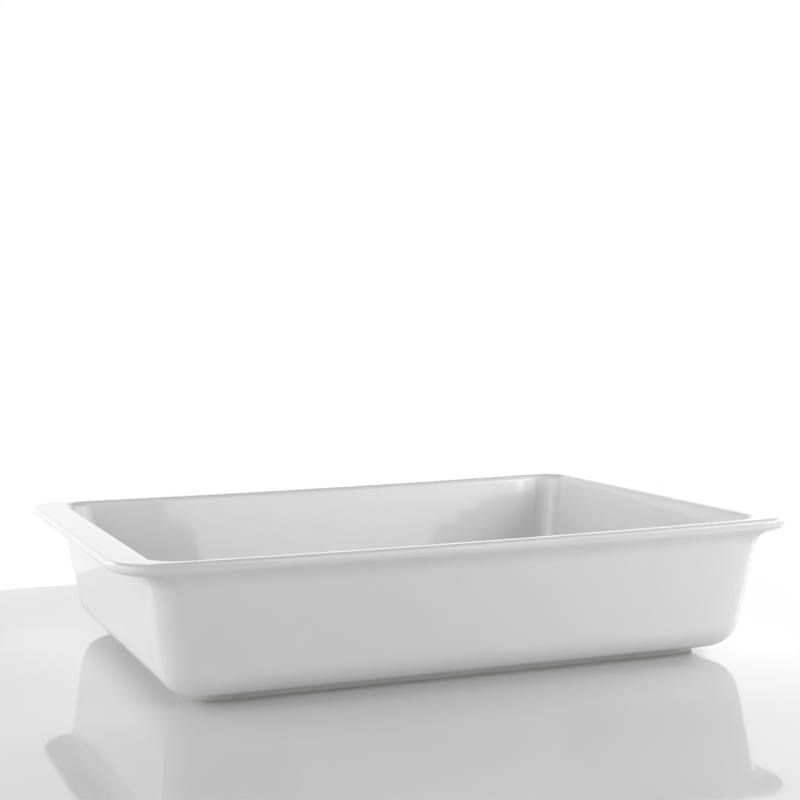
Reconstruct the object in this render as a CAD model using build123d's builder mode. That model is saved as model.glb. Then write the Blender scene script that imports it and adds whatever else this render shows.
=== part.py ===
"""A rectangular lasagna dish of glazed porcelain, with a wide flat grip at each end.

All sizes are in millimetres. The dish stands on the plane z = 0 with its length along X
and its width along Y, and the origin is the middle of its footprint on the table.
The dish is one fired body. Its glaze is a thin skin of glass, modelled as pieces of its own:
one coat over everything that shows, and one over the recess inside the foot ring.
"""
import os
from math import atan2, cos, radians, sin, tan

from build123d import *

# Overall size, over the rim
rim_length = 400.0
rim_width = 290.0
dish_height = 82.0
rim_corner_radius = 28.0

# The flat rim: wide at the two ends, where it is the grips, and narrow along the sides
grip_width = 20.0
side_rim_width = 8.0
rim_edge_thickness = 3.4
rim_edge_rounding = 1.4
rim_underside_drop = 6.0
rim_root_radius = 8.0
opening_edge_rounding = 3.2

# Walls, which lean outwards all round, and their upright corners
wall_thickness = 5.0
wall_draft = 8.0  # degrees from upright
wall_corner_radius_at_rim = 15.0
wall_corner_radius_at_base = 22.0
base_radius = 18.0

# Floor and the bend between floor and walls
floor_thickness = 6.0
floor_bend_radius = 14.0

# Foot ring under the floor
foot_height = 4.8
foot_ring_width = 6.0
foot_inset = 2.0
foot_corner_radius = 14.0
foot_root_rounding = 1.2
foot_tread_rounding = 0.6

# Glaze: its thickness, and the height of the foot's bare band above the table
glaze_thickness = 0.4
bare_band_height = 1.2

# How far a cutting solid runs past what it cuts, and how far the rim's underside runs on into the wall
overrun = 5.0
rim_burial_share = 0.25
level_tolerance = 0.01

# Worked out from the sizes above
wall_lean = tan(radians(wall_draft))
edge_setback = opening_edge_rounding * tan(radians(90.0 - wall_draft) / 2)
inner_half_length = rim_length / 2 - grip_width - edge_setback
inner_half_width = rim_width / 2 - side_rim_width - edge_setback
outer_half_length = inner_half_length + wall_thickness / cos(radians(wall_draft))
outer_half_width = inner_half_width + wall_thickness / cos(radians(wall_draft))
inner_corner_at_rim = wall_corner_radius_at_rim - wall_thickness
inner_corner_at_base = wall_corner_radius_at_base - wall_thickness
floor_top = foot_height + floor_thickness
rim_underside = dish_height - rim_edge_thickness
rim_root = rim_underside - rim_underside_drop
base_setback = (dish_height - foot_height) * wall_lean + base_radius * tan(radians(90.0 - wall_draft) / 2)
foot_half_length = outer_half_length - base_setback - foot_inset
foot_half_width = outer_half_width - base_setback - foot_inset


def outline(height, half_length, half_width, corner_radius):
    """A level rounded rectangle at a height."""
    with BuildSketch(Plane.XY.offset(height)) as face:
        RectangleRounded(2 * half_length, 2 * half_width, corner_radius)
    return face.sketch


def wall_sizes(height, half_length, half_width, corner_at_rim, corner_at_base):
    """The walls' half length, half width and corner radius at a height, from those at the rim."""
    inset = (dish_height - height) * wall_lean
    share = (dish_height - height) / (dish_height - foot_height)
    corner = corner_at_rim + (corner_at_base - corner_at_rim) * share
    return half_length - inset, half_width - inset, corner


def outside_sizes(height, skin):
    """The outside of the walls at a height, drawn in by a skin."""
    drawn_in = skin / cos(radians(wall_draft))
    half_length = outer_half_length - drawn_in
    half_width = outer_half_width - drawn_in
    corners = wall_corner_radius_at_rim - skin, wall_corner_radius_at_base - skin
    return wall_sizes(height, half_length, half_width, *corners)


def inside_sizes(height, skin):
    """The inside of the walls at a height, widened by a skin."""
    widened = skin / cos(radians(wall_draft))
    half_length = inner_half_length + widened
    half_width = inner_half_width + widened
    corners = inner_corner_at_rim + skin, inner_corner_at_base + skin
    return wall_sizes(height, half_length, half_width, *corners)


def rim_underside_height(share, skin):
    """How high the rim's underside is: share 0 at the rim's outer edge, share 1 at its root on the wall."""
    slope = atan2(rim_underside_drop, rim_length / 2 - outer_half_length)
    lift = skin * (1 - sin(slope)) / cos(slope)
    return rim_underside - rim_underside_drop * share + lift


def rim_underside_outline(share, skin):
    """The rim's underside at that height: the rim's own outline at share 0, and the wall's at share 1."""
    edge_sizes = rim_length / 2 - skin, rim_width / 2 - skin, rim_corner_radius - skin
    root_sizes = outside_sizes(rim_underside_height(1, skin), skin)
    sizes = [edge + (root - edge) * share for edge, root in zip(edge_sizes, root_sizes)]
    return outline(rim_underside_height(share, skin), *sizes)


def edges_at(part, height):
    """The edges of a part that lie level at a height."""
    return part.edges().filter_by_position(Axis.Z, height - level_tolerance, height + level_tolerance)


def walls_and_rim_form(skin):
    """The dish before it is hollowed: leaning walls on a soft radius, and the rim standing out all round them."""
    top = dish_height - skin
    base = foot_height + skin
    rim_edge_bottom = rim_underside_height(0, skin)
    with BuildPart() as block:
        base_outline = outline(base, *outside_sizes(base, skin))
        top_outline = outline(top, *outside_sizes(top, skin))
        loft([base_outline, top_outline], ruled=True)
        fillet(edges_at(block, base), base_radius - skin)
        loft([rim_underside_outline(1 + rim_burial_share, skin), rim_underside_outline(0, skin)], ruled=True)
        extrude(rim_underside_outline(0, skin), amount=top - rim_edge_bottom)
        fillet(edges_at(block, rim_underside_height(1, skin)), rim_root_radius + skin)
    return block.part


def hollow_form(skin):
    """The space inside the dish: a flat floor, a soft bend all round it, and the leaning walls up past the rim."""
    floor = floor_top - skin
    mouth = dish_height + overrun
    with BuildPart() as space:
        floor_outline = outline(floor, *inside_sizes(floor, skin))
        mouth_outline = outline(mouth, *inside_sizes(mouth, skin))
        loft([floor_outline, mouth_outline], ruled=True)
        fillet(edges_at(space, floor), floor_bend_radius + skin)
    return space.part


def foot_ring_form(skin):
    """The foot ring, standing from the table up into the floor."""
    with BuildPart() as ring:
        outer = outline(0, foot_half_length - skin, foot_half_width - skin, foot_corner_radius - skin)
        inner = outline(
            0,
            foot_half_length - foot_ring_width + skin,
            foot_half_width - foot_ring_width + skin,
            foot_corner_radius - foot_ring_width + skin,
        )
        extrude(outer, amount=foot_height + skin)
        extrude(inner, amount=foot_height + skin, mode=Mode.SUBTRACT)
        fillet(edges_at(ring, 0), foot_tread_rounding)
    return ring.part


def shared_edges(part, other, height):
    """The level edges of a part that lie where another part's own level edges lie."""
    places = [edge.center() for edge in edges_at(other, height)]
    return [
        edge
        for edge in edges_at(part, height)
        if min((edge.center() - place).length for place in places) < level_tolerance
    ]


def dish_form(skin):
    """The whole dish, its surface drawn in by a skin: 0 for the glazed shape, the glaze's thickness for the body."""
    foot_ring = foot_ring_form(skin)
    with BuildPart() as dish:
        add(walls_and_rim_form(skin))
        add(hollow_form(skin), mode=Mode.SUBTRACT)
        top_face = dish.faces().sort_by(Axis.Z)[-1]
        rim_edges = top_face.outer_wire().edges() + edges_at(dish, rim_underside_height(0, skin))
        opening_edges = top_face.inner_wires()[0].edges()
        fillet(opening_edges, opening_edge_rounding - skin)
        fillet(rim_edges, rim_edge_rounding - skin)
        add(foot_ring)
        fillet(shared_edges(dish, foot_ring, foot_height + skin), foot_root_rounding + skin)
    return dish.part


# The fired body: the dish without its glaze
with BuildPart() as porcelain_body:
    add(dish_form(glaze_thickness))

# The glaze: what the glazed shape holds beyond the body, down to the foot ring's bare band.
# The bare band parts it into the coat outside and the patch in the recess under the floor.
with BuildPart() as glaze:
    add(dish_form(0))
    split(bisect_by=Plane.XY.offset(bare_band_height), keep=Keep.TOP)
    add(porcelain_body.part, mode=Mode.SUBTRACT)

with BuildPart() as underside_glaze:
    add(glaze.solids().sort_by(SortBy.VOLUME)[0])

with BuildPart() as glaze_coat:
    add(glaze.solids().sort_by(SortBy.VOLUME)[-1])

porcelain_body.part.label = "porcelain_body"
glaze_coat.part.label = "glaze_coat"
underside_glaze.part.label = "underside_glaze"

os.makedirs("parts", exist_ok=True)
export_step(porcelain_body.part, "parts/porcelain_body.step")
export_step(glaze_coat.part, "parts/glaze_coat.step")
export_step(underside_glaze.part, "parts/underside_glaze.step")

print("fired body, cubic mm:", round(porcelain_body.part.volume))
print("glaze coat, cubic mm:", round(glaze_coat.part.volume))
print("underside glaze, cubic mm:", round(underside_glaze.part.volume))
print("glaze solids:", len(glaze.solids()))
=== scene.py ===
# %% [markdown]
# A deep rectangular lasagna dish of white glazed porcelain, standing empty on a glossy table.
# The real dish is one fired body with a skin of glass melted over it. The glass stops short of
# the tread of the foot ring, which is wiped bare so that the dish doesn't stick to the kiln shelf.
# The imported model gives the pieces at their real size. Everything here is built around it.

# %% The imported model
from math import cos, pi, radians, sin, tan

import bpy
import numpy as np
from mathutils import Matrix, Vector


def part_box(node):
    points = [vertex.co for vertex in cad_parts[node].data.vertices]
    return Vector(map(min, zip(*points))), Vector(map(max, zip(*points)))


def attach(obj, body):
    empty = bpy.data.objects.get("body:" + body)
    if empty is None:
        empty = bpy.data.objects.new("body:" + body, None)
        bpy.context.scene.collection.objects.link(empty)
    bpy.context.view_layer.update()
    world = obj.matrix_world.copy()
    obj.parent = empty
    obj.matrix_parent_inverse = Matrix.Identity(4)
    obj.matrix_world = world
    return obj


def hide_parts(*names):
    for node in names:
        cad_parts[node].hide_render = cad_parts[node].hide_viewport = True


MM = 0.001
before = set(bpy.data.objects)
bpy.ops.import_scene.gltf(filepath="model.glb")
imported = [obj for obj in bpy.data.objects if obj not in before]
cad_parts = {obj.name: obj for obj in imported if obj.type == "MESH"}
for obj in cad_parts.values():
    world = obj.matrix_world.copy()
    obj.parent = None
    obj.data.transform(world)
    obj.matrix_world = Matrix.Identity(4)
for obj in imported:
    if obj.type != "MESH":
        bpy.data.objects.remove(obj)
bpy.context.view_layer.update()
coat_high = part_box("glaze_coat")[1]
body_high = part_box("porcelain_body")[1]
patch_low, patch_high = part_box("underside_glaze")
print("packed pieces:", sorted(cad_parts))

# %% [markdown]
# The sizes of the dish, in metres. The outline of the rim, the height, the foot ring and the
# thickness of the glaze can be read from the boxes of the imported pieces. The rest are the sizes
# that the dish was modelled from, and a few that were made finer here from the photograph.

# %% Sizes of the dish
rim_half = np.array([coat_high.x, coat_high.y])
dish_height = coat_high.z
glaze_thickness = coat_high.x - body_high.x
foot_height = patch_high.z - glaze_thickness
foot_inner_half = np.array([patch_high.x, patch_high.y]) - glaze_thickness
bare_band_height = patch_low.z

# How wide the rim is at the ends, where it is the grips, and along the sides
grip_width = 20 * MM
side_rim_width = 6.3 * MM
packed_opening_rounding = 3.2 * MM
opening_edge_rounding = 4.2 * MM

# The corners of the rim are quarter ellipses: how far they reach along the length and across the width
rim_corner_reach = (20 * MM, 28 * MM)

# The rim's edge is a soft bullnose. Each pair is its size at the two ends and along the two sides
rim_edge_thickness = (5.3 * MM, 4.8 * MM)
rim_upper_rounding = (2.4 * MM, 2.6 * MM)
rim_lower_rounding = (2.4 * MM, 5.5 * MM)
rim_underside_drop = (2.4 * MM, 6.6 * MM)
rim_root_radius = (9 * MM, 18 * MM)

# The walls at the ends and along the sides
wall_thickness = np.array([4.6 * MM, 6.4 * MM])

# Each pair is the size outside and inside
wall_draft = (radians(8), radians(9.2))
wall_corner_radius_at_rim = (16 * MM, 16 * MM)
wall_corner_radius_at_base = (20 * MM, 19 * MM)
base_radius = 18 * MM
floor_thickness = 6 * MM
floor_bend_radius = 14 * MM

foot_ring_width = 6 * MM
foot_corner_radius = 14 * MM
foot_root_rounding = 1.2 * MM
foot_tread_rounding = 0.6 * MM

# How early in a corner the section goes over from its height at the end to its height at the side:
# a higher number is nearer to the end
corner_hold = 2.5

# The kiln's heat lets the long sides sag a little between the stiff corners
rim_sag = 1.35 * MM
print("glaze in mm:", round(glaze_thickness / MM, 2), "foot height in mm:", round(foot_height / MM, 2))

# %% [markdown]
# The dish is a ring of level outlines, each a rectangle with rounded corners. What changes from one
# outline to the next is the section of the dish. It is cut twice, through an end and through a
# side, because the rim is 20 mm wide at the ends and only 6 mm along the sides.
# A block with bevelled edges could be hollowed out instead, but the roundings would crease where
# they meet. Here a shape is a list of knots of the section, each with the rounding that it gets, and
# the surface follows as a function of two parameters: how far along the section, and how far round.

# %% Outlines of the walls
ENDS, SIDES = 0, 1
OUTSIDE, INSIDE = 0, 1


def flat_taken(radius, face):
    """How much of a level face a rounding takes up between it and a wall: the radius times the tangent of
    half the angle that the wall leaves to the level."""
    return radius * tan((pi / 2 - wall_draft[face]) / 2)


def wall_outline(height, face):
    """Half sizes and corner radius of a wall's face at a height: the half sizes at the rim less the depth
    times the tangent of the draft, and the corner growing evenly from the rim down to the base."""
    depth = dish_height - height
    at_rim, at_base = wall_corner_radius_at_rim[face], wall_corner_radius_at_base[face]
    growth = (at_base - at_rim) / (dish_height - foot_height)
    return wall_half[face] - depth * tan(wall_draft[face]), at_rim + depth * growth


floor_top = foot_height + floor_thickness
foot_outer_half = foot_inner_half + foot_ring_width
rim_width = np.array([grip_width, side_rim_width])
opening_half = rim_half - rim_width - flat_taken(packed_opening_rounding, OUTSIDE)
wall_half = (opening_half + wall_thickness / cos(wall_draft[OUTSIDE]), opening_half)
print("opening in mm:", np.round(2 * opening_half / MM, 1), "floor in mm:", round(floor_top / MM, 1))

# %% [markdown]
# A knot is where two straight stretches of the section meet. Next to a rounding on a level face, the
# outline shrinks evenly on all sides, so the reach of its corners shrinks by as much. A helper knot
# without a rounding, a little further along the face, says so. The corners of the rim reach 20 mm
# along the length and 28 mm across the width, so the knots of the ends' section carry the one reach
# and those of the sides' section the other. All other corners are circles, alike in both.

# %% Knots of the section
foot_margin = 0.15 * MM
recess_margin = 0.5 * MM
rim_margin = 0.6 * MM
floor_margin = 2 * MM


def knot(half, corner, height, rounding=0.0, shrink=0.0):
    """One knot: half length, half width, height, corner reach and rounding. Shrink draws it in evenly."""
    return [half[ENDS] - shrink, half[SIDES] - shrink, height, corner - shrink, rounding]


def pole(height):
    """The middle of a level face, where an outline has shrunk to a point."""
    return [0.0, 0.0, height, 0.0, 0.0]


def outside_knots(start_height, which):
    """The foot's outer side from a height up, then the base, the wall, the rim and the inside down to the
    middle of the floor, for the ends (0) or the sides (1)."""
    underside = dish_height - rim_edge_thickness[which]
    root_height = underside - rim_underside_drop[which]
    rim_reach = rim_corner_reach[which]
    base_half, base_corner = wall_outline(foot_height, OUTSIDE)
    root_half, root_corner = wall_outline(root_height, OUTSIDE)
    mouth_half, mouth_corner = wall_outline(dish_height, INSIDE)
    floor_half, floor_corner = wall_outline(floor_top, INSIDE)
    foot_flat = foot_root_rounding + foot_margin
    base_flat = flat_taken(base_radius, OUTSIDE) + foot_margin
    edge_flat = rim_upper_rounding[which] + rim_margin
    opening_flat = flat_taken(opening_edge_rounding, INSIDE) + rim_margin
    floor_flat = flat_taken(floor_bend_radius, INSIDE) + floor_margin
    return [
        knot(foot_outer_half, foot_corner_radius, start_height),
        knot(foot_outer_half, foot_corner_radius, foot_height, foot_root_rounding),
        knot(foot_outer_half, foot_corner_radius, foot_height, shrink=-foot_flat),
        knot(base_half, base_corner, foot_height, shrink=base_flat),
        knot(base_half, base_corner, foot_height, base_radius),
        knot(root_half, root_corner, root_height, rim_root_radius[which]),
        knot(rim_half, rim_reach, underside, rim_lower_rounding[which]),
        knot(rim_half, rim_reach, dish_height, rim_upper_rounding[which]),
        knot(rim_half, rim_reach, dish_height, shrink=edge_flat),
        knot(mouth_half, mouth_corner, dish_height, shrink=-opening_flat),
        knot(mouth_half, mouth_corner, dish_height, opening_edge_rounding),
        knot(floor_half, floor_corner, floor_top, floor_bend_radius),
        knot(floor_half, floor_corner, floor_top, shrink=floor_flat),
        pole(floor_top),
    ]


def recess_knots(end_height):
    """The recess under the floor, from its middle out and down the foot ring's inner side to a height."""
    corner = foot_corner_radius - foot_ring_width
    return [
        pole(foot_height),
        knot(foot_inner_half, corner, foot_height, shrink=foot_root_rounding + recess_margin),
        knot(foot_inner_half, corner, foot_height, foot_root_rounding),
        knot(foot_inner_half, corner, end_height),
    ]


print("knots from the foot to the floor:", len(outside_knots(0.0, ENDS)))

# %% [markdown]
# At a knot with a rounding, an arc replaces the corner and touches both stretches. A Bevel modifier
# would round all edges by one width and fail where two roundings come close. Worked out here, each
# arc has its own radius. Every point also gets the direction that faces out of the material, because
# the glaze is a skin of even thickness: its inner face is the outer one moved in along it.

# %% Roundings at the knots
ARC_STEPS = 14
SMALLEST_TANGENT = 1e-9


def touch_lengths(points, roundings):
    """How far from its knot each arc starts: the radius over the tangent of half the angle at the knot."""
    before = points[:-2] - points[1:-1]
    after = points[2:] - points[1:-1]
    cosine = (before * after).sum(1) / (np.linalg.norm(before, axis=1) * np.linalg.norm(after, axis=1))
    half_angle = np.arccos(np.clip(cosine, -1, 1)) / 2
    lengths = np.zeros(len(points))
    lengths[1:-1] = roundings[1:-1] / np.maximum(np.tan(half_angle), SMALLEST_TANGENT)
    return lengths


def arc_weights(half_angle, steps):
    """Points of an arc as amounts of the two lines from its middle to where it touches: the sine of the turn
    still to go, and the sine of the turn already made, each over the sine of the whole turn."""
    turn = pi - 2 * half_angle
    share = np.linspace(0, 1, steps + 1)
    first = np.sin((1 - share) * turn) / sin(turn)
    second = np.sin(share * turn) / sin(turn)
    return first, second


def rounding(points, corners, lengths, place, radius):
    """The arc at a knot. Its middle lies on the bisector, as far off as the radius over the sine of half the
    angle, and its points turn evenly. The corner reach changes as it would along the two stretches."""
    before, after = points[place - 1] - points[place], points[place + 1] - points[place]
    before_length, after_length = np.linalg.norm(before), np.linalg.norm(after)
    before, after = before / before_length, after / after_length
    half_angle = np.arccos(np.clip(before @ after, -1, 1)) / 2
    middle = (before + after) / np.linalg.norm(before + after) * radius / sin(half_angle)
    first, second = arc_weights(half_angle, ARC_STEPS)
    from_middle = first[:, None] * (before * lengths[place] - middle)
    from_middle = from_middle + second[:, None] * (after * lengths[place] - middle)
    arc = (middle + from_middle)[1:-1]
    weights = np.linalg.solve(np.column_stack([before, after]), arc.T)
    corner_before = (corners[place - 1] - corners[place]) / before_length
    corner_after = (corners[place + 1] - corners[place]) / after_length
    corner = corners[place] + weights[0] * corner_before + weights[1] * corner_after
    travel = -before
    side = np.sign(travel[0] * after[1] - travel[1] * after[0])
    facing = from_middle[1:-1] / radius * side
    return np.column_stack([points[place] + arc, corner, facing])


print("points inside a rounding:", ARC_STEPS - 1)

# %% [markdown]
# Between two roundings the section runs straight. Each stretch gets a point close to both its ends,
# which keeps the shading of a flat face flat right up to the rounding beside it. A flat face could
# be marked as such with sharp edges, but glaze has none: it runs over every edge in a soft line.

# %% The section as points
STRETCH_STEPS = 5
HOLD = 0.35 * MM
HOLD_SHARE = 1 / 4


def section(knots, which):
    """Half size, height, corner reach and outward direction along a section, for the ends (0) or the
    sides (1): even steps along each stretch, and the arc at each knot that has a rounding."""
    table = np.array(knots)
    points = table[:, [which, 2]]
    corners, roundings = table[:, 3], table[:, 4]
    lengths = touch_lengths(points, roundings)
    rows = []
    for place in range(len(points) - 1):
        here, there = points[place], points[place + 1]
        run = there - here
        distance = np.linalg.norm(run)
        along = run / distance
        facing = np.array([along[1], -along[0]])
        start, stop = lengths[place], distance - lengths[place + 1]
        hold = min(HOLD, (stop - start) * HOLD_SHARE)
        inner = np.linspace(start + hold, stop - hold, STRETCH_STEPS)
        amounts = np.concatenate([[start], inner, [stop]])
        if place > 0 and lengths[place] == 0:
            # The stretch before ended at this helper knot, and its point twice would make faces without area
            amounts = amounts[1:]
        corner_here = corners[place] + (corners[place + 1] - corners[place]) * amounts / distance
        stretch = here + amounts[:, None] * along
        rows.append(np.column_stack([stretch, corner_here, np.tile(facing, (len(amounts), 1))]))
        if lengths[place + 1] > 0:
            rows.append(rounding(points, corners, lengths, place + 1, roundings[place + 1]))
    return np.vstack(rows)


def drawn_in(rows, skin):
    """A section moved into the material by a skin's thickness, along the facing direction. The corner reach
    shrinks by the level part of that move."""
    moved = rows.copy()
    moved[:, 0] -= skin * rows[:, 3]
    moved[:, 1] -= skin * rows[:, 4]
    moved[:, 2] = np.maximum(moved[:, 2] - skin * rows[:, 3], 0)
    return moved


print("points along the section:", len(section(outside_knots(0.0, ENDS), ENDS)))

# %% [markdown]
# The section is now carried round the dish. A point of an outline is the middle of its corner, slid
# along the side by a share, plus the corner's reach times the direction that faces out. The share
# and the direction are the same for every outline, so the outlines line up point by point.
# The reach along the length comes from the ends' section and the reach across the width from the
# sides' section, so where the two differ, the corner is a quarter ellipse. The height passes from
# the one section to the other within the corner. At last the long sides sag, as on the real dish.

# %% Once round the dish
CORNER_STEPS = 18
END_STEPS = 26
SIDE_STEPS = 38


def way_round():
    """Share of the corner's middle in X and Y and the facing direction, counter-clockwise from the middle of
    the right end: cosine and sine of the turn in a corner, and fixed along a side."""
    quarter = np.linspace(0, pi / 2, CORNER_STEPS + 1)
    ends = np.linspace(0, 1, END_STEPS // 2 + 1)[:-1]
    sides = np.linspace(1, 0, SIDE_STEPS // 2 + 1)[1:]
    share_x = np.concatenate([np.ones(len(ends)), np.ones(len(quarter)), sides])
    share_y = np.concatenate([ends, np.ones(len(quarter)), np.ones(len(sides))])
    face_x = np.concatenate([np.ones(len(ends)), np.cos(quarter), np.zeros(len(sides))])
    face_y = np.concatenate([np.zeros(len(ends)), np.sin(quarter), np.ones(len(sides))])
    first = np.stack([share_x, share_y, face_x, face_y])
    second = first[:, -2::-1] * np.array([-1, 1, -1, 1])[:, None]
    half = np.concatenate([first, second], axis=1)
    return np.concatenate([half, -half[:, 1:-1]], axis=1)


def sag(points):
    """The points with the long sides sagging. A point goes down by the sag, times its share of the height,
    times one less the square of its share of the half length."""
    rise = points[..., 2] / dish_height
    span = 1 - (points[..., 0] / rim_half[ENDS]) ** 2
    lowered = points.copy()
    lowered[..., 2] -= rim_sag * rise * span
    return lowered


def carried_round(rows_end, rows_side):
    """The grid of points, one outline for each row of the section. X and Y are the share times the half size
    less the reach, plus the reach times the facing. The height goes over to the side's by one less the
    facing along X, raised to the power of the corner hold."""
    share_x, share_y, face_x, face_y = way_round()
    along_length, across_width = rows_end[:, 2:3], rows_side[:, 2:3]
    x = share_x * (rows_end[:, :1] - along_length) + along_length * face_x
    y = share_y * (rows_side[:, :1] - across_width) + across_width * face_y
    towards_side = 1 - np.abs(face_x) ** corner_hold
    z = rows_end[:, 1:2] * (1 - towards_side) + rows_side[:, 1:2] * towards_side
    return sag(np.stack([x, y, z], axis=2))


print("points once round:", way_round().shape[1])

# %% [markdown]
# The grid of points becomes a closed mesh: four-sided faces between neighbouring outlines, and a fan
# of triangles around the pole at each end. The order of the corners makes every face look outwards,
# so no normals have to be turned round afterwards.

# %% From points to a mesh


def all_closed(*groups):
    """True if every edge of the faces is shared by exactly two of them."""
    pairs = [np.stack([faces, np.roll(faces, -1, axis=1)], axis=2).reshape(-1, 2) for faces in groups]
    counts = np.unique(np.sort(np.concatenate(pairs), axis=1), axis=0, return_counts=True)[1]
    return bool((counts == 2).all())


def closed_mesh(name, grid):
    """A mesh from outlines, the first and the last of which have shrunk to a pole. Each face joins two
    neighbours of an outline to the same two of the next."""
    inner = grid[1:-1]
    rings, around = inner.shape[:2]
    poles = np.stack([grid[0].mean(0), grid[-1].mean(0)])
    vertices = np.concatenate([inner.reshape(-1, 3), poles])
    number = np.arange(rings * around).reshape(rings, around)
    after = np.roll(number, -1, axis=1)
    quads = np.stack([number[:-1], after[:-1], after[1:], number[1:]], axis=2).reshape(-1, 4)
    low_pole, high_pole = rings * around, rings * around + 1
    low_fan = np.stack([np.full(around, low_pole), after[0], number[0]], axis=1)
    high_fan = np.stack([np.full(around, high_pole), number[-1], after[-1]], axis=1)
    mesh = bpy.data.meshes.new(name)
    mesh.from_pydata(vertices.tolist(), [], quads.tolist() + low_fan.tolist() + high_fan.tolist())
    mesh.shade_smooth()
    mesh.update()
    piece = bpy.data.objects.new(name, mesh)
    bpy.context.scene.collection.objects.link(piece)
    print(name, "faces:", len(mesh.polygons), "closed:", all_closed(quads, low_fan, high_fan))
    return piece


# %% [markdown]
# The glaze coat is what shows: one closed skin of glass over the inside, the rim with its two grips
# and the outside, down to the bare band of the foot. It could be a plain outer surface, but as a
# skin with two faces and a rounded melted edge it is the piece that the real dish has.

# %% The glaze coat
BEAD_STEPS = 5


def bead(outer, inner):
    """The melted edge of the glaze: half a circle from the outer face to the inner one, bulging downwards by
    half the glaze's thickness."""
    turn = np.linspace(0, pi, BEAD_STEPS + 2)[1:-1]
    middle, reach = (outer + inner) / 2, (outer - inner) / 2
    rows = middle + np.cos(turn)[:, None] * reach
    rows[:, 1] -= np.sin(turn) * glaze_thickness / 2
    return rows


edge_height = bare_band_height + glaze_thickness / 2
coat_rows = []
for which in (ENDS, SIDES):
    outer = section(outside_knots(edge_height, which), which)
    inner = drawn_in(outer, glaze_thickness)
    coat_rows.append(np.vstack([inner[::-1], bead(outer[:1], inner[:1])[::-1], outer]))
glaze_coat = closed_mesh("glaze_coat_surface", carried_round(*coat_rows))
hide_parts("glaze_coat")
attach(glaze_coat, "root")

# %% [markdown]
# The recess under the floor is glazed too. The wiped tread of the foot ring parts this patch from
# the coat outside. It is the same skin, from the middle of the recess out to its own melted edge.

# %% The glaze in the recess under the floor
patch_rows = []
for which in (ENDS, SIDES):
    outer = section(recess_knots(edge_height), which)
    inner = drawn_in(outer, glaze_thickness)
    patch_rows.append(np.vstack([outer, bead(outer[-1:], inner[-1:]), inner[::-1]]))
underside_glaze = closed_mesh("underside_glaze_surface", carried_round(*patch_rows))
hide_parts("underside_glaze")
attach(underside_glaze, "root")

# %% [markdown]
# The fired body under the glaze. Only its foot shows: the tread and the low bare band above it.
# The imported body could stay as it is, but it is the old shape under a finer glaze and would come
# through. So its surface is the glazed one drawn in by the glaze. The tread has no glaze, so its
# line starts one glaze thickness lower, and drawing it in brings it back to the table.

# %% The porcelain body
tread_start = -glaze_thickness
tread_rounding = foot_tread_rounding + glaze_thickness
tread_knots = [
    knot(foot_inner_half, foot_corner_radius - foot_ring_width, tread_start, tread_rounding),
    knot(foot_outer_half, foot_corner_radius, tread_start, tread_rounding),
]
body_rows = []
for which in (ENDS, SIDES):
    body_knots = recess_knots(tread_start)[:-1] + tread_knots + outside_knots(tread_start, which)[1:]
    body_rows.append(drawn_in(section(body_knots, which), glaze_thickness))
porcelain_body = closed_mesh("porcelain_body_surface", carried_round(*body_rows))
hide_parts("porcelain_body")
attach(porcelain_body, "root")

# %% [markdown]
# Finishes are sums of patterns. To write them as sums, one small class stands for a value that
# changes over the surface, and the usual signs add the Math nodes. The nodes could be placed and
# linked one by one, but then the sum that they stand for is hard to see.

# %% Patterns as sums


class Value:
    """A number that changes from place to place: the socket of a node, for use in sums."""

    def __init__(self, nodes, socket):
        self.nodes = nodes
        self.socket = socket

    def math(self, operation, *amounts):
        """A Math node with the given amounts, in that order."""
        return self.nodes.value("ShaderNodeMath", {"operation": operation}, dict(enumerate(amounts)))

    def __add__(self, other):
        return self.math("ADD", self, other)

    def __radd__(self, other):
        return self.math("ADD", other, self)

    def __sub__(self, other):
        return self.math("SUBTRACT", self, other)

    def __rsub__(self, other):
        return self.math("SUBTRACT", other, self)

    def __mul__(self, other):
        return self.math("MULTIPLY", self, other)

    def __rmul__(self, other):
        return self.math("MULTIPLY", other, self)

    def clamped(self):
        """This value held between 0 and 1."""
        return self.math("MINIMUM", self.math("MAXIMUM", self, 0.0), 1.0)


print("signs that add a Math node: + - *")

# %% [markdown]
# Any other node comes from one method, which takes its type, its settings and what goes into its
# sockets. A few kinds that are used more than once get a short method with a plain name.

# %% Nodes by one method


class Nodes:
    """The nodes of one material or of the world."""

    def __init__(self, tree):
        self.tree = tree

    def node(self, kind, settings, inputs):
        """A node of a kind, with its settings set first and then its sockets given numbers or links."""
        made = self.tree.nodes.new(kind)
        for name, setting in settings.items():
            setattr(made, name, setting)
        for name, given in inputs.items():
            self.feed(made.inputs[name], given)
        return made

    def feed(self, socket, given):
        """Puts a number, a colour or a link into a socket."""
        if isinstance(given, Value):
            given = given.socket
        if isinstance(given, bpy.types.NodeSocket):
            self.tree.links.new(given, socket)
        else:
            socket.default_value = given

    def value(self, kind, settings, inputs, output=0):
        """A node of a kind, as the value that comes out of it."""
        return Value(self, self.node(kind, settings, inputs).outputs[output])

    def ramp(self, amount, start, end):
        """0 where an amount is at the start or before it, 1 at the end or past it, a soft step between."""
        settings = {"interpolation_type": "SMOOTHSTEP"}
        inputs = {"Value": amount, "From Min": start, "From Max": end}
        return self.value("ShaderNodeMapRange", settings, inputs)

    def mixed(self, share, first, second):
        """A shader between two, by a share."""
        return self.node("ShaderNodeMixShader", {}, {0: share, 1: first, 2: second}).outputs[0]


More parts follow.
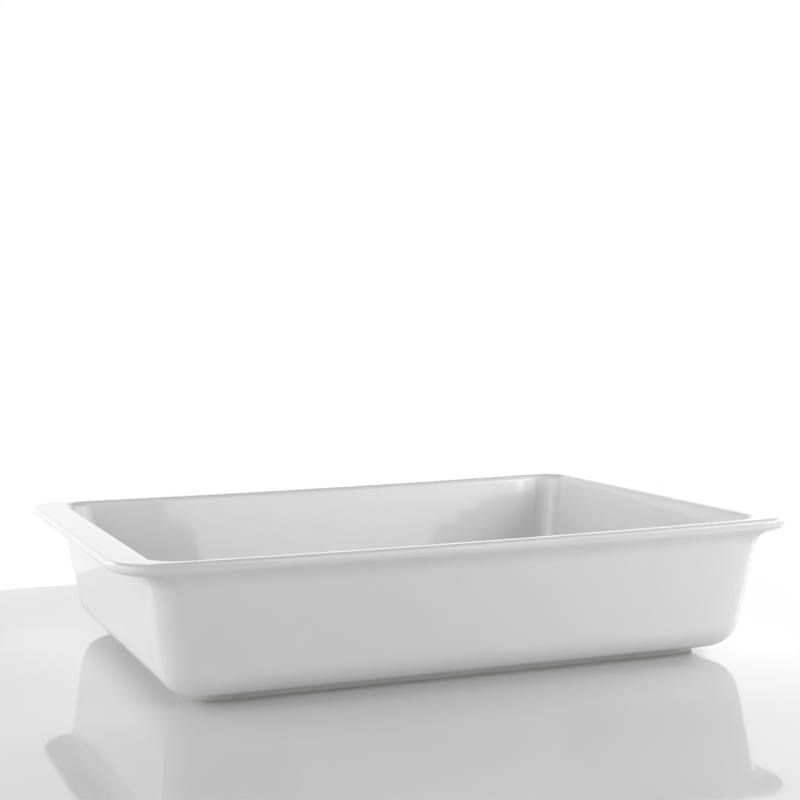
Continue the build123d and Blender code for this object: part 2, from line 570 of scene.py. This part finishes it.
class Finish(Nodes):
    """One material: its nodes, its main shader, and the place on the piece that they read."""

    def __init__(self, name):
        self.material = bpy.data.materials.new(name)
        self.material.use_nodes = True
        super().__init__(self.material.node_tree)
        self.shader = self.tree.nodes["Principled BSDF"]
        self.output = self.tree.nodes["Material Output"]
        self.place = self.node("ShaderNodeTexCoord", {}, {}).outputs["Object"]

    def noise(self, size, detail, roughness=0.5):
        """A cloudy pattern whose patches are about that size in metres, as a value around one half."""
        scaled = self.node("ShaderNodeMapping", {}, {"Vector": self.place, "Scale": [1 / size] * 3})
        inputs = {"Vector": scaled.outputs[0], "Scale": 1.0, "Detail": detail, "Roughness": roughness}
        return self.value("ShaderNodeTexNoise", {}, inputs)

    def blend(self, share, first, second):
        """A colour between two, by a share."""
        made = self.node("ShaderNodeMix", {"data_type": "RGBA"}, {"Factor": share})
        self.feed(made.inputs[6], first)
        self.feed(made.inputs[7], second)
        return made.outputs[2]

    def bump(self, height, strength, distance):
        """A bumpy surface from a height value, for a shader's Normal."""
        settings = {"Height": height, "Strength": strength, "Distance": distance}
        return self.node("ShaderNodeBump", {}, settings).outputs[0]

    def set(self, **inputs):
        """Values or links for the main shader's sockets, with underscores for spaces in their names."""
        for name, given in inputs.items():
            self.feed(self.shader.inputs[name.replace("_", " ")], given)


print("patterns and colours of a finish: noise, ramp, blend and bump")

# %% [markdown]
# White glaze: clear hard glass over a white body. It is neutral white, mirrors its surroundings
# weakly from the front and strongly at a flat angle, and its surface has a faint slow wave where it
# ran in the kiln, with a finer skin like orange peel. Its roughness changes a little from use.
# Glass over white could be two shaders, but one with the index of glass already does both.

# %% White glaze
glaze_white = (0.80, 0.80, 0.80, 1)
glaze_shade = (0.775, 0.775, 0.77, 1)
glaze_index = 1.52
new_roughness = 0.02
worn_roughness = 0.03
peel_height = 0.006
wave_strength = 0.2
wave_height = 0.6 * MM

white_glaze = Finish("white_glaze")
slow_wave = white_glaze.noise(size=55 * MM, detail=1.0)
orange_peel = white_glaze.noise(size=4 * MM, detail=1.0)
wear = white_glaze.noise(size=20 * MM, detail=4.0)
white_glaze.set(
    Base_Color=white_glaze.blend(wear, glaze_white, glaze_shade),
    Roughness=new_roughness + worn_roughness * wear,
    IOR=glaze_index,
    Normal=white_glaze.bump(slow_wave + peel_height * orange_peel, wave_strength, wave_height),
)
for piece in (glaze_coat, underside_glaze):
    piece.data.materials.append(white_glaze.material)
print("nodes of the glaze:", len(white_glaze.tree.nodes))

# %% [markdown]
# Bare fired porcelain, on the foot only: matte, slightly warm and grainy, a little greyer where it
# has been pushed across oven shelves. The scuffs could be painted by hand, but a pattern in the
# piece's own coordinates stays the same however the dish is seen.

# %% Bare porcelain
bare_white = (0.78, 0.77, 0.74, 1)
bare_grey = (0.60, 0.59, 0.565, 1)
scuff_start = 0.35
scuff_contrast = 1.6
bare_roughness = 0.62
grain_roughness = 0.2
grain_strength = 0.5
grain_height = 0.12 * MM

bare_porcelain = Finish("bare_porcelain")
grain = bare_porcelain.noise(size=0.6 * MM, detail=6.0, roughness=0.7)
scuffs = bare_porcelain.noise(size=14 * MM, detail=5.0, roughness=0.65)
bare_porcelain.set(
    Base_Color=bare_porcelain.blend((scuffs - scuff_start) * scuff_contrast, bare_white, bare_grey),
    Roughness=bare_roughness + grain_roughness * grain,
    Normal=bare_porcelain.bump(grain, grain_strength, grain_height),
)
porcelain_body.data.materials.append(bare_porcelain.material)
print("nodes of the bare porcelain:", len(bare_porcelain.tree.nodes))

# %% [markdown]
# The table: a plain pale board with a polished surface, so that the dish stands on its own mirror
# image. It starts just in front of the lamp screens and ends a little behind the dish. What follows
# is the backdrop's white paper on the same level, which the camera and the mirror images see as
# pure white, as in a studio where the paper gets more light than it needs. The light that the paper
# throws on the dish is that of plain paper.

# %% The table
table_reach = 3.0
table_front_edge = -1.9
table_back_edge = 0.290
table_edge_softness = 0.006
floor_white = (0.80, 0.80, 0.80, 1)
paper_white = (0.90, 0.90, 0.90, 1)
board_roughness = 0.035
board_index = 1.5

table_mesh = bpy.data.meshes.new("table")
table_corners = [(-table_reach, table_front_edge, 0), (table_reach, table_front_edge, 0)]
table_corners += [(table_reach, table_reach, 0), (-table_reach, table_reach, 0)]
table_mesh.from_pydata(table_corners, [], [(0, 1, 2, 3)])
table = bpy.data.objects.new("table", table_mesh)
bpy.context.scene.collection.objects.link(table)

board = Finish("polished_board")
board.set(Base_Color=floor_white, Roughness=board_roughness, IOR=board_index)
board_y = board.value("ShaderNodeSeparateXYZ", {}, {"Vector": board.place}, output=1)
past_edge = board.ramp(board_y, table_back_edge, table_back_edge + table_edge_softness)
rays = board.node("ShaderNodeLightPath", {}, {}).outputs
from_camera = Value(board, rays["Is Camera Ray"])
from_gloss = Value(board, rays["Is Glossy Ray"])
from_glass = Value(board, rays["Is Transmission Ray"])
seen = (from_camera + from_gloss + from_glass).clamped()
plain_paper = board.node("ShaderNodeBsdfDiffuse", {}, {"Color": paper_white}).outputs[0]
bright_paper = board.node("ShaderNodeEmission", {}, {"Strength": 1.0}).outputs[0]
paper = board.mixed(seen, plain_paper, bright_paper)
board.feed(board.output.inputs["Surface"], board.mixed(past_edge, board.shader.outputs[0], paper))
table_mesh.materials.append(board.material)
print("table from", table_front_edge, "to", table_back_edge, "m, then paper")

# %% [markdown]
# Soft studio light. The world is the studio itself: behind the dish hangs a white backdrop, which
# reaches 45 degrees round to the left and further to the right, where it gets brighter. The rest of
# the room is dark, with a faint ceiling. The camera sees white all round, at a strength of 1. Other
# rays see the backdrop at the level that it has in the photograph, where it is brighter than white.
# An evenly white world would be simpler, but glaze that mirrors only white looks like matte paint.

# %% The studio
backdrop_level_left = 1.28
backdrop_level = 1.48
room_level = 0.05
ceiling_level = 0.20

# Where the levels change, as amounts of the direction towards the right (X), back (Y) and up (Z)
right_end_slope = 0.5
backdrop_end_softness = 0.03
backdrop_top = (0.52, 0.58)
backdrop_brightens = (0.12, 0.42)
ceiling_starts = (0.70, 0.80)

world = bpy.data.worlds.new("studio")
bpy.context.scene.world = world
world.use_nodes = True
studio = Nodes(world.node_tree)
direction = studio.node("ShaderNodeTexCoord", {}, {}).outputs["Generated"]
to_right, to_back, upward = [
    studio.value("ShaderNodeSeparateXYZ", {}, {"Vector": direction}, output=place) for place in range(3)
]
beside = to_right.math("MAXIMUM", -1 * to_right, right_end_slope * to_right)
below_top = 1 - studio.ramp(upward, *backdrop_top)
towards_backdrop = studio.ramp(to_back - beside, -backdrop_end_softness, backdrop_end_softness) * below_top
brightening = (backdrop_level - backdrop_level_left) * studio.ramp(to_right, *backdrop_brightens)
room = room_level + (backdrop_level_left + brightening - room_level) * towards_backdrop
room = room + (ceiling_level - room_level) * studio.ramp(upward, *ceiling_starts)
seen_by_camera = studio.value("ShaderNodeLightPath", {}, {})
level = room + seen_by_camera * (1 - room)
background = studio.tree.nodes["Background"]
studio.feed(background.inputs["Color"], (1, 1, 1, 1))
studio.feed(background.inputs["Strength"], level)
print("backdrop and room levels:", backdrop_level, room_level)

# %% [markdown]
# The lamps are soft boxes near the dish and large upright screens two metres off, given by their
# place, size and brightness, where 1 is the brightness of white paper. An area lamp's power is pi
# times its brightness times its area. The dark gaps between the screens matter as much as the
# screens do: the glaze mirrors both, and this is what tells gloss from matte. A real screen of cloth
# has no sharp lower corner, so small pieces, the fringe and the hem, break that of the two big ones.

# %% Lamps


def soft_box(name, place, target, width, height, brightness):
    """A soft box: an area lamp at a place, turned to face a target. The camera doesn't see it."""
    lamp = bpy.data.lights.new(name, "AREA")
    lamp.shape = "RECTANGLE"
    lamp.size = width
    lamp.size_y = height
    lamp.energy = pi * brightness * width * height
    box = bpy.data.objects.new(name, lamp)
    box.location = place
    box.rotation_euler = (Vector(target) - Vector(place)).to_track_quat("-Z", "Y").to_euler()
    box.visible_camera = False
    bpy.context.scene.collection.objects.link(box)


middle = (0, 0, dish_height / 2)
box_side = 0.4
near_boxes = [
    ("left_box", (-0.7, 0.0, 0.3), 1.2),
    ("left_far_box", (-0.6, 0.45, 0.3), 1.4),
    ("right_box", (0.7, 0.0, 0.3), 3.1),
    ("right_front_box", (0.6, -0.45, 0.3), 3.55),
]
for name, place, brightness in near_boxes:
    soft_box(name, place, middle, box_side, box_side, brightness)

# Each screen's place along its wall, the height of its middle, its width, height and brightness
screen_distance = 2.0
left_screens = [
    ("left_screen", -0.67, 0.75, 2.66, 1.5, 1.9),
    ("left_far_screen", 1.33, 0.75, 1.33, 1.5, 0.4),
]
for name, along, up, width, height, brightness in left_screens:
    soft_box(name, (-screen_distance, along, up), (0, along, up), width, height, brightness)

front_screens = [
    ("front_left_screen", -1.33, 0.75, 1.33, 1.5, 0.65),
    ("front_right_screen", 0.69, 1.1, 0.5, 2.2, 2.15),
    ("front_far_right_screen", 1.47, 1.34, 1.06, 1.72, 2.3),
    ("front_right_fringe", 0.41, 0.689, 0.06, 0.422, 1.8),
    ("front_right_fringe_hem", 0.43, 0.4665, 0.02, 0.023, 1.8),
    ("front_right_hem", 0.965, 0.455, 0.05, 0.05, 2.1),
    ("front_right_hem_end", 1.015, 0.467, 0.05, 0.026, 2.1),
]
for name, along, up, width, height, brightness in front_screens:
    soft_box(name, (along, -screen_distance, up), (along, 0, up), width, height, brightness)
print("lamps:", len(near_boxes) + len(left_screens) + len(front_screens))

# %% [markdown]
# The camera stands a little left of the dish's front, low over the table. Its place, turn and lens
# are real sizes worked out from the way that the rim, the walls and the foot ring line up in view.
# It could be aimed with a tracking constraint, but the photograph is tilted by a degree, so the
# three directions of its view are worked out from its turn, dip and roll.

# %% Camera
camera_place = (-0.3605, -0.9701, 0.2159)
camera_turn = 0.3426
camera_dip = 0.1122
camera_roll = 0.0199
sensor_width = 36
frame_pixels = 800
focal_pixels = 1690.0
centre_pixel = (367.0, 481.8)

level_share = cos(camera_dip)
forward = Vector((sin(camera_turn) * level_share, cos(camera_turn) * level_share, -sin(camera_dip)))
level_right = Vector((cos(camera_turn), -sin(camera_turn), 0))
level_down = forward.cross(level_right)
right = level_right * cos(camera_roll) + level_down * sin(camera_roll)
down = level_down * cos(camera_roll) - level_right * sin(camera_roll)
turned = Matrix((right, -down, -forward)).transposed().to_4x4()

lens = bpy.data.cameras.new("camera")
lens.sensor_width = sensor_width
lens.lens = sensor_width * focal_pixels / frame_pixels
lens.shift_x = 0.5 - centre_pixel[0] / frame_pixels
lens.shift_y = centre_pixel[1] / frame_pixels - 0.5
camera = bpy.data.objects.new("camera", lens)
camera.matrix_world = Matrix.Translation(camera_place) @ turned
bpy.context.scene.collection.objects.link(camera)
bpy.context.scene.camera = camera
bpy.context.scene.view_settings.view_transform = "Standard"
print("lens in mm:", round(lens.lens, 1))
